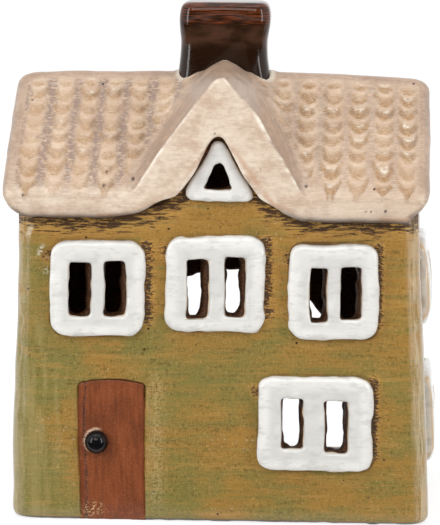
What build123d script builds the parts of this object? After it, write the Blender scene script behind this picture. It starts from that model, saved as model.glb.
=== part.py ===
"""Tealight house: a small hand-built pottery cottage that glows when a tealight burns inside it.

The cottage is made of clay slabs luted together: four leaning walls mitred at the corners, a floor,
a back roof slab, a front roof slab with a gable, and a chimney let into the ridge. Raised window
frames are laid on the walls, and a door with its knob sits in a shallow pocket. The tealight goes in
and out through the arch in the back wall.

Millimetres, +Z up, +X to the right of the door, the front faces -Y, and the origin is on the table
under the middle of the house.
"""

from build123d import *

import math
import os

# Walls, whose plan is given at the height of the eaves and spreads towards the table
top_width = 107.6
top_depth = 70.4
side_spread = 3.0
front_spread = 2.3
eaves_height = 83.0
wall = 5.0
corner_radius = 5.0
inner_corner_radius = 2.5
foot_radius = 2.2
floor_thickness = 5.0

# Roof slabs
verge_overhang = 3.7
eave_overhang = 5.0
eave_band = 8.2
ridge_rise = 28.4
ridge_radius = 4.0
eave_radius = 3.0
verge_radius = 2.6

# Front gable, whose slopes are given by the rise over each millimetre of run
gable_over_ridge = 3.8
gable_slope_share = 1.46
gable_band = 16.4
soffit_slope_share = 1.38
gable_peak_radius = 1.6
gable_foot_radius = 12.0
soffit_peak_radius = 2.0
soffit_foot_radius = 24.0
soffit_drop = 1.0

# Tiles pressed on the roof slabs, in columns of overlapping half-round scales
tile_rows = 7
tile_pitch = 6.95
tile_length = 5.9
tile_radius = 2.3
tile_step = 0.8
tile_sink = 1.5
first_column_inset = 6.5
first_row_inset = 3.4

# Chimney
chimney_rise = 15.3
chimney_seat = 1.5
chimney_width = 26.2
chimney_depth = 13.4
chimney_waist_width = 23.6
chimney_waist_depth = 12.6
chimney_waist_drop = 14.0
chimney_shoulder_width = 25.4
chimney_shoulder_depth = 13.2
chimney_shoulder_drop = 5.0
chimney_corner_radius = 4.0
chimney_top_radius = 2.4

# Window frames and the slots cut through them. Drops hang from the eaves, feet stand over the
# table, and margins lie between a frame and the end of its wall at the eaves.
frame_thickness = 2.9
frame_corner_radius = 4.2
frame_edge_radius = 1.3
middle_window_extra = 1.1
right_window_trim = 1.7
lower_window_width = 30.9
pane_width = 6.3
pane_height = 14.8
pane_spacing = 9.5
middle_pane_spacing = 10.2
right_pane_spacing = 8.8
lower_pane_spacing = 11.6
pane_slant = 2.8
upper_window_drop = 6.0
middle_window_lift = 1.7
lower_window_foot = 15.0
storey_gap = 10.0
left_window_margin = 8.75
left_window_gap = 5.35
right_window_gap = 6.4
right_window_margin = 10.6
lower_window_margin = 11.75
side_upper_window_drop = 6.6
side_lower_window_foot = 11.6

# Three-cornered window in the gable
attic_window_width = 21.8
attic_window_height = 18.8
attic_window_drop = 0.2
attic_corner_radius = 2.2
attic_hole_width = 7.1
attic_hole_height = 7.6
attic_hole_lift = 3.7

# Door and knob
door_width = 19.0
door_rise = 1.2
door_head_gap = 13.4
door_margin = 17.0
door_sill = 0.9
door_thickness = 1.5
door_recess = 0.8
knob_radius = 3.0
knob_lift = 0.9
knob_neck_radius = 2.3
knob_peg_radius = 1.0
knob_from_edge = 4.2
knob_from_sill = 20.8

# Arch in the back wall
arch_width = 65.0
arch_height = 53.0
arch_shoulder = 22.0

# Tealight
cup_radius = 19.2
cup_taper = 0.5
cup_height = 15.0
cup_wall = 0.4
cup_lip = 0.8
wax_below_lip = 2.2
wick_radius = 0.7
wick_above_wax = 7.0
sustainer_radius = 6.5
sustainer_thickness = 0.4
sustainer_neck_radius = 1.4
sustainer_neck_height = 3.5
tealight_place = 4.0

# Clearances shared by the pieces, and how far a cut runs past its faces
fit_gap = 0.1
slide_gap = 0.3
overrun = 2.0

os.makedirs("parts", exist_ok=True)

# Sizes that follow from the ones above
side_lean = side_spread / eaves_height
front_lean = front_spread / eaves_height
base_width = top_width + 2 * side_spread
base_depth = top_depth + 2 * front_spread
roof_width = top_width + 2 * verge_overhang
roof_depth = top_depth + 2 * eave_overhang
eave_top = eaves_height + eave_band
ridge_height = eave_top + ridge_rise
slope_rise = ridge_rise / (roof_depth / 2)
ceiling_height = ridge_height - eave_band
gable_peak = ridge_height + gable_over_ridge
soffit_peak = gable_peak - gable_band
chimney_top = gable_peak + chimney_rise
chimney_foot = ridge_height - slope_rise * chimney_depth / 2 - chimney_seat
pocket_depth = door_recess + door_thickness

# Frames share what their margins and gaps leave of the wall
window_height = (eaves_height - upper_window_drop - storey_gap - lower_window_foot) / 2
window_gaps = left_window_margin + left_window_gap + right_window_gap + right_window_margin
window_width = (top_width - window_gaps - middle_window_extra + right_window_trim) / 3
middle_window_width = window_width + middle_window_extra
right_window_width = window_width - right_window_trim
upper_window = eaves_height - upper_window_drop - window_height / 2
middle_window = upper_window + middle_window_lift
lower_window = lower_window_foot + window_height / 2
side_upper_window = eaves_height - side_upper_window_drop - window_height / 2
side_lower_window = side_lower_window_foot + window_height / 2
left_window_edge = left_window_margin + window_width
left_window_place = -top_width / 2 + left_window_margin + window_width / 2
middle_window_place = -top_width / 2 + left_window_edge + left_window_gap + middle_window_width / 2
right_window_place = top_width / 2 - right_window_margin - right_window_width / 2
lower_window_place = top_width / 2 - lower_window_margin - lower_window_width / 2

# The door's straight sides end below the upper windows
door_place = -top_width / 2 + door_margin + door_width / 2
door_height = upper_window - window_height / 2 - door_head_gap

# Outer faces of the walls, each with its own axes across and up the wall
front_face = Plane((0, -base_depth / 2, 0), x_dir=(1, 0, 0), z_dir=(0, -1, front_lean))
right_face = Plane((base_width / 2, 0, 0), x_dir=(0, 1, 0), z_dir=(1, 0, side_lean))
left_face = Plane((-base_width / 2, 0, 0), x_dir=(0, -1, 0), z_dir=(-1, 0, side_lean))

# Slopes of the roof slabs, each with its own axes along the ridge and up the slope
front_slope = Plane((0, 0, ridge_height), x_dir=(1, 0, 0), z_dir=(0, -slope_rise, 1))
back_slope = Plane((0, 0, ridge_height), x_dir=(-1, 0, 0), z_dir=(0, slope_rise, 1))


def mitre(right, back):
    """The plane of a corner's mitre, whose upper side holds the side wall."""
    corner = (right * base_width / 2, back * base_depth / 2, 0)
    return Plane(corner, z_dir=(right, -back, side_lean - front_lean))


def leaning_block(bottom, top, inset, radius):
    """A block with the lean of the walls, drawn in by an inset on every side."""
    with BuildPart() as block:
        for height in (bottom, top):
            width = base_width - 2 * side_lean * height - 2 * inset
            depth = base_depth - 2 * front_lean * height - 2 * inset
            with BuildSketch(Plane.XY.offset(height)):
                RectangleRounded(width, depth, radius)
        loft(ruled=True)
    return block.part


def gable_outline(peak, slope_share, foot, peak_radius, foot_radius):
    """A gable seen from the front, whose slopes flare out level at the foot height."""
    half = (peak - foot) / slope_share
    reach = half + foot_radius
    with BuildSketch(Plane.XZ) as outline:
        with BuildLine():
            FilletPolyline(
                (-reach, foot - overrun),
                (-reach, foot),
                (-half, foot),
                (0, peak),
                (half, foot),
                (reach, foot),
                (reach, foot - overrun),
                radius=[0, 0, foot_radius, peak_radius, foot_radius, 0, 0],
                close=True,
            )
        make_face()
    return outline.sketch


# Space below the roof, in which the walls stand
soffit_outline = gable_outline(
    soffit_peak, soffit_slope_share, eaves_height - soffit_drop, soffit_peak_radius, soffit_foot_radius)
under_reach = roof_depth / 2 + overrun
with BuildPart() as under_roof:
    with BuildSketch(Plane.YZ):
        with BuildLine():
            Polyline(
                (-under_reach, -overrun),
                (-under_reach, ceiling_height - slope_rise * under_reach),
                (0, ceiling_height),
                (under_reach, ceiling_height - slope_rise * under_reach),
                (under_reach, -overrun),
                close=True,
            )
        make_face()
    extrude(amount=roof_width / 2 + overrun, both=True)
    extrude(soffit_outline, amount=under_reach)

# Walls as one shell, before it is mitred into four
block = leaning_block(0, ridge_height, 0, corner_radius)
room = leaning_block(-overrun, ridge_height, wall, inner_corner_radius)
with BuildPart() as shell:
    add(block)
    fillet(shell.edges().group_by(Axis.Z)[0], foot_radius)
    add(room, mode=Mode.SUBTRACT)
    add(under_roof.part, mode=Mode.INTERSECT)

# Windows: face, place across, place up, width of the frame and spacing of its two slots
windows = {
    "upper_left_window_frame": (
        front_face, left_window_place, upper_window, window_width, pane_spacing),
    "upper_middle_window_frame": (
        front_face, middle_window_place, middle_window, middle_window_width, middle_pane_spacing),
    "upper_right_window_frame": (
        front_face, right_window_place, upper_window, right_window_width, right_pane_spacing),
    "lower_right_window_frame": (
        front_face, lower_window_place, lower_window, lower_window_width, lower_pane_spacing),
    "right_side_upper_window_frame": (
        right_face, 0, side_upper_window, window_width, pane_spacing),
    "right_side_lower_window_frame": (
        right_face, 0, side_lower_window, window_width, pane_spacing),
    "left_side_upper_window_frame": (
        left_face, 0, side_upper_window, window_width, pane_spacing),
    "left_side_lower_window_frame": (
        left_face, 0, side_lower_window, window_width, pane_spacing),
}


def slot_cutter(face, across, up):
    """A slot cut by hand from outside, whose right side slants in towards the back."""
    with BuildPart() as slot:
        with BuildSketch(face.offset(frame_thickness + overrun)):
            with Locations((across, up)):
                Rectangle(pane_width, pane_height)
        with BuildSketch(face.offset(-wall - overrun)):
            with Locations((across - pane_slant / 2, up)):
                Rectangle(pane_width - pane_slant, pane_height)
        loft(ruled=True)
    return slot.part


slots = {
    name: [slot_cutter(face, across + side * spacing / 2, up) for side in (-1, 1)]
    for name, (face, across, up, width, spacing) in windows.items()
}

# Three-cornered slot of the window in the gable
attic_base = soffit_peak - attic_window_drop - attic_window_height
attic_hole_base = attic_base + attic_hole_lift
with BuildPart() as attic_slot:
    with BuildSketch(front_face.offset(frame_thickness + overrun)):
        with BuildLine():
            Polyline(
                (-attic_hole_width / 2, attic_hole_base),
                (attic_hole_width / 2, attic_hole_base),
                (0, attic_hole_base + attic_hole_height),
                close=True,
            )
        make_face()
    extrude(amount=-frame_thickness - wall - 2 * overrun)


def door_outline(face, gap):
    """The door's outline with a low arched head, grown by a gap on every side."""
    left = door_place - door_width / 2 - gap
    right = door_place + door_width / 2 + gap
    shoulder = door_height + gap
    with BuildSketch(face) as outline:
        with BuildLine():
            Polyline(
                (left, shoulder),
                (left, door_sill - gap),
                (right, door_sill - gap),
                (right, shoulder),
            )
            ThreePointArc((right, shoulder), (door_place, shoulder + door_rise), (left, shoulder))
        make_face()
    return outline.sketch


# Walls
door_pocket = door_outline(front_face, fit_gap)
with BuildPart() as front_wall:
    add(shell.part)
    split(bisect_by=Plane.XZ, keep=Keep.TOP)
    split(bisect_by=mitre(1, -1), keep=Keep.BOTTOM)
    split(bisect_by=mitre(-1, -1), keep=Keep.BOTTOM)
    for name, (face, *_) in windows.items():
        if face is front_face:
            add(slots[name], mode=Mode.SUBTRACT)
    add(attic_slot.part, mode=Mode.SUBTRACT)
    extrude(door_pocket, amount=-pocket_depth, mode=Mode.SUBTRACT)
front_wall.part.label = "front_wall"
export_step(front_wall.part, "parts/front_wall.step")

arch_spring = floor_thickness + arch_shoulder
with BuildPart() as back_wall:
    add(shell.part)
    split(bisect_by=Plane.XZ, keep=Keep.BOTTOM)
    split(bisect_by=mitre(1, 1), keep=Keep.BOTTOM)
    split(bisect_by=mitre(-1, 1), keep=Keep.BOTTOM)
    with BuildSketch(Plane.XZ.offset(-base_depth / 2 - overrun)):
        with BuildLine():
            Polyline(
                (-arch_width / 2, arch_spring),
                (-arch_width / 2, floor_thickness),
                (arch_width / 2, floor_thickness),
                (arch_width / 2, arch_spring),
            )
            EllipticalCenterArc(
                (0, arch_spring),
                arch_width / 2,
                arch_height - arch_shoulder,
                start_angle=0,
                arc_size=180,
            )
        make_face()
    extrude(amount=wall + front_spread + 2 * overrun, mode=Mode.SUBTRACT)
back_wall.part.label = "back_wall"
export_step(back_wall.part, "parts/back_wall.step")

for side_name, right, side_face in (("right_wall", 1, right_face), ("left_wall", -1, left_face)):
    with BuildPart() as side_wall:
        add(shell.part)
        split(bisect_by=mitre(right, -1), keep=Keep.TOP)
        split(bisect_by=mitre(right, 1), keep=Keep.TOP)
        for name, (face, *_) in windows.items():
            if face is side_face:
                add(slots[name], mode=Mode.SUBTRACT)
    side_wall.part.label = side_name
    export_step(side_wall.part, f"parts/{side_name}.step")

# Floor, which fills the foot of the room
room_foot = leaning_block(0, floor_thickness, wall, inner_corner_radius)
with BuildPart() as floor_slab:
    add(room_foot)
floor_slab.part.label = "floor_slab"
export_step(floor_slab.part, "parts/floor_slab.step")

# Chimney, wider at its foot and its shoulders than at its waist
chimney_sections = (
    (chimney_foot, chimney_width, chimney_depth),
    (chimney_top - chimney_waist_drop, chimney_waist_width, chimney_waist_depth),
    (chimney_top - chimney_shoulder_drop, chimney_shoulder_width, chimney_shoulder_depth),
    (chimney_top, chimney_waist_width, chimney_waist_depth),
)
with BuildPart() as chimney:
    for height, width, depth in chimney_sections:
        with BuildSketch(Plane.XY.offset(height)):
            RectangleRounded(width, depth, chimney_corner_radius)
    loft()
    fillet(chimney.edges().group_by(Axis.Z)[-1], chimney_top_radius)
chimney.part.label = "chimney"
export_step(chimney.part, "parts/chimney.step")

# Front gable, which runs back to the ridge
gable_foot = eave_top - eave_radius
outer_outline = gable_outline(
    gable_peak, gable_slope_share, gable_foot, gable_peak_radius, gable_foot_radius)
with BuildPart() as gable:
    extrude(outer_outline, amount=roof_depth / 2)

# Roof as one body with its gable, before it is halved along the ridge
with BuildPart() as roof:
    with BuildSketch(Plane.YZ):
        with BuildLine():
            FilletPolyline(
                (-roof_depth / 2, eaves_height - overrun),
                (-roof_depth / 2, eave_top),
                (0, ridge_height),
                (roof_depth / 2, eave_top),
                (roof_depth / 2, eaves_height - overrun),
                radius=[0, eave_radius, ridge_radius, eave_radius, 0],
                close=True,
            )
        make_face()
    extrude(amount=roof_width / 2, both=True)
    ends = roof.faces().filter_by(Axis.X)
    fillet([edge for edge in ends.edges() if edge.center().Z > eaves_height], verge_radius)
    add(gable.part)
    add(under_roof.part, mode=Mode.SUBTRACT)


def tile_column(rows):
    """A column of overlapping half-round scales that points down the slope from the ridge."""
    points = [(0, -first_row_inset)]
    for row in range(rows):
        start = -first_row_inset - row * tile_length
        points.append((tile_radius, start))
        points.append((tile_radius + tile_step, start - tile_length))
    points.append((0, -first_row_inset - rows * tile_length))
    with BuildPart() as column:
        with BuildSketch():
            with BuildLine():
                Polyline(*points, close=True)
            make_face()
        revolve(axis=Axis.Y)
    return column.part


def rows_beside_gable(across):
    """How many tiles of a column fit between the ridge and the valley beside the gable."""
    valley = gable_peak - gable_slope_share * (abs(across) - tile_radius)
    run = (ridge_height - valley) / math.sin(math.atan(slope_rise))
    return min(tile_rows, int((run - first_row_inset) / tile_length))


column_reach = roof_width / 2 - first_column_inset
front_columns = 1 + int((column_reach - tile_radius - chimney_width / 2) / tile_pitch)
back_gaps = round(2 * column_reach / tile_pitch)
front_places = [side * (column_reach - column * tile_pitch)
                for side in (-1, 1) for column in range(front_columns)]
back_places = [column_reach * (2 * column / back_gaps - 1) for column in range(back_gaps + 1)]
columns = {rows: tile_column(rows) for rows in range(1, tile_rows + 1)}

with BuildPart() as front_roof:
    add(roof.part)
    split(bisect_by=Plane.XZ, keep=Keep.TOP)
    for across in front_places:
        with Locations(front_slope.location * Location((across, 0, -tile_sink))):
            add(columns[rows_beside_gable(across)])
    add(chimney.part, mode=Mode.SUBTRACT)
front_roof.part.label = "front_roof"
export_step(front_roof.part, "parts/front_roof.step")

with BuildPart() as back_roof:
    add(roof.part)
    split(bisect_by=Plane.XZ, keep=Keep.BOTTOM)
    for across in back_places:
        with Locations(back_slope.location * Location((across, 0, -tile_sink))):
            add(columns[tile_rows])
    add(chimney.part, mode=Mode.SUBTRACT)
back_roof.part.label = "back_roof"
export_step(back_roof.part, "parts/back_roof.step")

# Window frames, laid on the walls as pads of clay
for name, (face, across, up, width, spacing) in windows.items():
    with BuildPart() as frame:
        with BuildSketch(face):
            with Locations((across, up)):
                RectangleRounded(width, window_height, frame_corner_radius)
        extrude(amount=frame_thickness)
        outer = frame.faces().sort_by(Axis(face.origin, face.z_dir))[-1]
        fillet(outer.edges(), frame_edge_radius)
        add(slots[name], mode=Mode.SUBTRACT)
    frame.part.label = name
    export_step(frame.part, f"parts/{name}.step")

with BuildPart() as attic_window_frame:
    with BuildSketch(front_face):
        with BuildLine():
            FilletPolyline(
                (-attic_window_width / 2, attic_base),
                (attic_window_width / 2, attic_base),
                (0, attic_base + attic_window_height),
                radius=attic_corner_radius,
                close=True,
            )
        make_face()
    extrude(amount=frame_thickness)
    outer = attic_window_frame.faces().sort_by(Axis(front_face.origin, front_face.z_dir))[-1]
    fillet(outer.edges(), frame_edge_radius)
    add(attic_slot.part, mode=Mode.SUBTRACT)
attic_window_frame.part.label = "attic_window_frame"
export_step(attic_window_frame.part, "parts/attic_window_frame.step")

# Door in its pocket, with the knob pegged through it
door_face = front_face.offset(-door_recess)
door_shape = door_outline(front_face.offset(-pocket_depth), 0)
knob_place = (door_place - door_width / 2 + knob_from_edge, door_sill + knob_from_sill)
with BuildPart() as door_panel:
    extrude(door_shape, amount=door_thickness)
    with Locations(door_face.location * Location(knob_place)):
        Hole(knob_peg_radius + fit_gap)
door_panel.part.label = "door_panel"
export_step(door_panel.part, "parts/door_panel.step")

knob_seat = Plane(
    (door_face.location * Location(knob_place)).position, x_dir=(1, 0, 0), z_dir=(0, -front_lean, -1))
with BuildPart() as door_knob:
    with BuildSketch(knob_seat):
        with BuildLine():
            Polyline(
                (0, knob_lift + knob_radius),
                (0, -door_thickness),
                (knob_peg_radius, -door_thickness),
                (knob_peg_radius, 0),
                (knob_neck_radius, 0),
            )
            TangentArc((knob_radius, knob_lift), (knob_neck_radius, 0), tangent=(0, -1))
            CenterArc((0, knob_lift), knob_radius, start_angle=0, arc_size=90)
        make_face()
    revolve(axis=Axis(knob_seat.origin, knob_seat.y_dir))
door_knob.part.label = "door_knob"
export_step(door_knob.part, "parts/door_knob.step")

# Tealight: a cup with its wax, and the wick held up by its sustainer
cup_foot = floor_thickness + slide_gap
wax_foot = cup_foot + cup_wall
wax_top = cup_foot + cup_height - wax_below_lip
cup_stand = Plane((-tealight_place, 0, 0), x_dir=(1, 0, 0), z_dir=(0, -1, 0))
cup_axis = Axis((-tealight_place, 0, 0), (0, 0, 1))
with BuildPart() as tealight_cup:
    with BuildSketch(cup_stand):
        with BuildLine():
            Polyline(
                (0, cup_foot),
                (cup_radius - cup_taper, cup_foot),
                (cup_radius, cup_foot + cup_height - cup_lip),
                (cup_radius + cup_lip, cup_foot + cup_height - cup_lip),
                (cup_radius + cup_lip, cup_foot + cup_height),
                (cup_radius - cup_wall, cup_foot + cup_height),
                (cup_radius - cup_taper - cup_wall, wax_foot),
                (0, wax_foot),
                close=True,
            )
        make_face()
    revolve(axis=cup_axis)
tealight_cup.part.label = "tealight_cup"
export_step(tealight_cup.part, "parts/tealight_cup.step")

with BuildPart() as wick_sustainer:
    with BuildSketch(Plane.XY.offset(wax_foot)):
        with Locations((-tealight_place, 0)):
            Circle(sustainer_radius)
    extrude(amount=sustainer_thickness)
    with BuildSketch(Plane.XY.offset(wax_foot + sustainer_thickness)):
        with Locations((-tealight_place, 0)):
            Circle(sustainer_neck_radius)
            Circle(wick_radius, mode=Mode.SUBTRACT)
    extrude(amount=sustainer_neck_height)
wick_sustainer.part.label = "wick_sustainer"
export_step(wick_sustainer.part, "parts/wick_sustainer.step")

with BuildPart() as wick:
    with BuildSketch(Plane.XY.offset(wax_foot + sustainer_thickness)):
        with Locations((-tealight_place, 0)):
            Circle(wick_radius)
    extrude(amount=wax_top + wick_above_wax - wax_foot - sustainer_thickness)
wick.part.label = "wick"
export_step(wick.part, "parts/wick.step")

wax_fill = wax_top - wax_foot
wax_spread = cup_taper * wax_fill / (cup_height - cup_lip)
with BuildPart() as candle_wax:
    with BuildSketch(cup_stand):
        with BuildLine():
            inside = cup_radius - cup_taper - cup_wall - fit_gap
            Polyline(
                (0, wax_foot),
                (inside, wax_foot),
                (inside + wax_spread, wax_top),
                (0, wax_top),
                close=True,
            )
        make_face()
    revolve(axis=cup_axis)
    add(wick_sustainer.part, mode=Mode.SUBTRACT)
    add(wick.part, mode=Mode.SUBTRACT)
candle_wax.part.label = "candle_wax"
export_step(candle_wax.part, "parts/candle_wax.step")
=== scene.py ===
"""Looks of the tealight house: a hand-built, hand-glazed pottery cottage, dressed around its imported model.

+Z is up and the front faces -Y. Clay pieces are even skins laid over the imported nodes, then softened,
roughened and painted by masks that are stored on their points. Skins are shaped in millimetres, and the
scene is in metres.
"""

import math

import bmesh
import bpy
import numpy as np
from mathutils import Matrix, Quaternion, Vector


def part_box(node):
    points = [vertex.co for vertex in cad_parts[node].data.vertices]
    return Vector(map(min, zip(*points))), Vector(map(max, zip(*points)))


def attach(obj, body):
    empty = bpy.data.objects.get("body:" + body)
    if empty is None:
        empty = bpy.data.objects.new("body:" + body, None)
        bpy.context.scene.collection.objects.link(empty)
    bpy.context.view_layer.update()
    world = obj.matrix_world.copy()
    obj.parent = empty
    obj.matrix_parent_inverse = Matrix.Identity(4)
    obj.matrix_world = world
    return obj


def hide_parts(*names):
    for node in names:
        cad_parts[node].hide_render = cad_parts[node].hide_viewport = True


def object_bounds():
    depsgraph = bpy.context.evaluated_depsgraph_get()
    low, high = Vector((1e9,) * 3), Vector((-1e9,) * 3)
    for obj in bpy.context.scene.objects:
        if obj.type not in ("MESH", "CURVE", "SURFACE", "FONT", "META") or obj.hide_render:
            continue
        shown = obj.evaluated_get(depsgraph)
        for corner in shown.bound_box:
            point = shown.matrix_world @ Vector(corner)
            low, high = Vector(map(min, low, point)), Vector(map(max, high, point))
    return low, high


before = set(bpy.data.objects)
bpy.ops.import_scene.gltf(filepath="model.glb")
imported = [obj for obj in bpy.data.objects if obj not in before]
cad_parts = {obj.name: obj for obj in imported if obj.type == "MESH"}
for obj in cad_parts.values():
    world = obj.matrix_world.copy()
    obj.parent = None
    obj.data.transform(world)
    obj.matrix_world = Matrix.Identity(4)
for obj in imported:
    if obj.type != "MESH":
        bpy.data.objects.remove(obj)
cad_low, cad_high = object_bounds()
scene = bpy.context.scene

MM = 0.001

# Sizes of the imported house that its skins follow, in millimetres
base_width = 113.6
base_depth = 75.0
side_lean = 3.0 / 83.0
front_lean = 2.3 / 83.0
eaves_height = 83.0
eave_top = 91.2
roof_width = 115.0
roof_depth = 80.4
ridge_height = 119.6
gable_peak = 123.4
gable_slope = 1.46
slope_rise = (ridge_height - eave_top) / (roof_depth / 2)
slope_angle = math.atan(slope_rise)

# The foot of the roof along the front wall: level at the sides, and up round the gable
soffit = ((-57.5, 84.3), (-29.6, 84.3), (-21, 85.2), (-15, 87.4), (-11.9, 90.2), (-7.1, 96.8), (-2.8, 102.7),
          (0, 106), (2.8, 104.5), (6, 100.2), (12, 91.7), (15, 87.8), (21, 85.3), (29.6, 84.3), (57.5, 84.3))

# Tiles, in columns that run down the slopes, as packed and as the finer ones lie
row_start = 7.6
row_length = 5.88
tile_pitch = 6.95
tile_length = 5.9
tile_rows = 7
first_column = 51.0
first_row = 3.4

# Pinholes in the roof's glaze: across, up and radius
roof_pits = ((-30.0, 95.5, 0.5), (-30.4, 92.4, 0.55), (-22.8, 93.8, 0.6), (-52.0, 89.6, 0.45),
             (23.6, 92.6, 0.55), (44.8, 86.6, 0.55), (39.5, 86.3, 0.35), (41.0, 86.3, 0.35),
             (-0.7, 106.7, 0.35))

# Painted glints on the wall's glaze: across, up and half their length
glint_marks = ((-50.5, 79.0, 2.4), (-47.5, 74.0, 2.0), (-46.0, 68.5, 0.9))

# The door, whose foot reaches the table
door_place = -27.3
door_width = 18.8
door_height = 37.6

# Window frames and their slots, cut by hand, so the left, right, foot and head edges stand off their places
frame_corner = 4.2
pane_width = 6.3
pane_height = 14.8
pane_spacing = {"upper_left": 9.5, "upper_middle": 10.2, "upper_right": 8.8, "lower_right": 11.6}
slot_growth = {
    ("upper_left", -1): (0, 0.4, 0, 0),
    ("upper_left", 1): (0, 0.5, 0, 0),
    ("upper_middle", -1): (-0.5, 1.3, 2.0, -0.7),
    ("upper_middle", 1): (-0.5, 1.0, 1.3, 0),
    ("upper_right", -1): (-1.2, 0.4, 0.6, -0.6),
    ("upper_right", 1): (-0.5, 0.8, 0, -0.8),
    ("lower_right", -1): (0, 0.4, -0.5, -0.4),
    ("lower_right", 1): (0, 0.8, 0.4, -1.1),
}
stain_reach = {"upper_left": 4.4, "upper_middle": 4.2, "upper_right": 2.4, "lower_right": 2.4}

window_frames = [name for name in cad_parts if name.endswith("window_frame")]
walls = ["front_wall", "back_wall", "left_wall", "right_wall"]


def hashed(cells, seed):
    """A steady random number from 0 to 1 for each whole-number cell."""
    x, y, z = (cells[:, axis].astype(np.uint32) for axis in range(3))
    mixed = x * np.uint32(374761393) + y * np.uint32(668265263) + z * np.uint32(2246822519)
    mixed = mixed + np.uint32(seed) * np.uint32(3266489917)
    mixed = (mixed ^ (mixed >> np.uint32(13))) * np.uint32(1274126177)
    mixed = mixed ^ (mixed >> np.uint32(16))
    return (mixed & np.uint32(0xFFFFFF)) / float(0xFFFFFF)


def ease(low, high, value):
    """0 at the first value and 1 at the second, with a smooth rise between."""
    share = np.clip((value - low) / (high - low), 0, 1)
    return share * share * (3 - 2 * share)


class Skin:
    """An even skin over some nodes, held as arrays while it is shaped."""

    def __init__(self, name, nodes, cell):
        joined = bmesh.new()
        for node in nodes:
            joined.from_mesh(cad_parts[node].data)
        mesh = bpy.data.meshes.new(name)
        joined.to_mesh(mesh)
        joined.free()
        self.object = bpy.data.objects.new(name, mesh)
        scene.collection.objects.link(self.object)
        self.wrap(cell)

    def wrap(self, cell):
        """Lays a new even skin over the present one."""
        wrapper = self.object.modifiers.new("wrap", "REMESH")
        wrapper.mode = "VOXEL"
        wrapper.voxel_size = cell * MM
        depsgraph = bpy.context.evaluated_depsgraph_get()
        mesh = bpy.data.meshes.new_from_object(self.object.evaluated_get(depsgraph))
        self.object.modifiers.clear()
        self.object.data = mesh
        count = len(mesh.vertices)
        places = np.empty(count * 3, np.float32)
        mesh.vertices.foreach_get("co", places)
        self.points = places.reshape(-1, 3).astype(float) / MM
        # These three are columns of the points, so a change to one moves the points
        self.x, self.y, self.z = self.points.T
        edges = np.empty(len(mesh.edges) * 2, np.int32)
        mesh.edges.foreach_get("vertices", edges)
        self.edges = edges.reshape(-1, 2)
        self.degree = np.bincount(edges, minlength=count)

    def mean(self, values):
        """The mean of each point's neighbours."""
        first, second = self.edges.T
        count = len(self.points)
        total = np.stack([
            np.bincount(first, column[second], count) + np.bincount(second, column[first], count)
            for column in values.T], axis=1)
        return total / np.maximum(self.degree, 1)[:, None]

    def smooth(self, rounds, mask=None):
        """Draws each point towards its neighbours, everywhere or by a mask."""
        weight = 1.0 if mask is None else mask[:, None]
        for _ in range(rounds):
            self.points += (self.mean(self.points) - self.points) * weight * 0.5

    def write(self):
        """Puts the points back in the mesh."""
        self.object.data.vertices.foreach_set("co", (self.points * MM).astype(np.float32).ravel())
        self.object.data.update()

    def normals(self):
        """The outward direction at each point."""
        self.write()
        found = np.empty(len(self.points) * 3, np.float32)
        self.object.data.vertices.foreach_get("normal", found)
        return found.reshape(-1, 3).astype(float)

    def noise(self, size, seed, stretch=(1, 1, 1)):
        """Smooth noise from -1 to 1, whose lumps are about that size times the stretch."""
        scaled = self.points / (size * np.array(stretch))
        cells = np.floor(scaled).astype(np.int64)
        share = scaled - cells
        share = share * share * share * (share * (share * 6 - 15) + 10)
        total = np.zeros(len(scaled))
        for corner in np.ndindex(2, 2, 2):
            weight = np.where(corner, share, 1 - share).prod(axis=1)
            total += weight * hashed(cells + np.array(corner), seed)
        return total * 2 - 1

    def push(self, directions, amounts):
        """Moves each point its own amount along its own direction."""
        self.points += directions * amounts[:, None]

    def roughen(self, *layers):
        """Pushes the points in and out by layers of noise: height, size, seed and stretch."""
        normals = self.normals()
        for height, *lumps in layers:
            self.push(normals, self.noise(*lumps) * height)

    def store(self, **masks):
        """Keeps numbers on each point, for the glaze to read."""
        for name, values in masks.items():
            attribute = self.object.data.attributes.new(name, "FLOAT", "POINT")
            attribute.data.foreach_set("value", values.astype(np.float32))

    def store_edges(self, rounds, height):
        """Keeps how far each point stands out of its softened surroundings, from -1 to 1."""
        soft = self.points.copy()
        for _ in range(rounds):
            soft += (self.mean(soft) - soft) * 0.5
        proud = ((self.points - soft) * self.normals()).sum(1) / height
        self.store(edge=np.clip(proud, -1, 1))

    def finish(self, paint, slot, *nodes):
        """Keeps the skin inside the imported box, paints it and lets it stand for its nodes."""
        margin = 0.02
        lowest, highest = np.array(cad_low) / MM + margin, np.array(cad_high) / MM - margin
        np.clip(self.points, lowest, highest, out=self.points)
        self.write()
        piece = self.object
        piece.data.shade_smooth()
        piece.data.materials.clear()
        piece.data.materials.append(paint)
        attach(piece, "house")
        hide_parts(*nodes)


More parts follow.
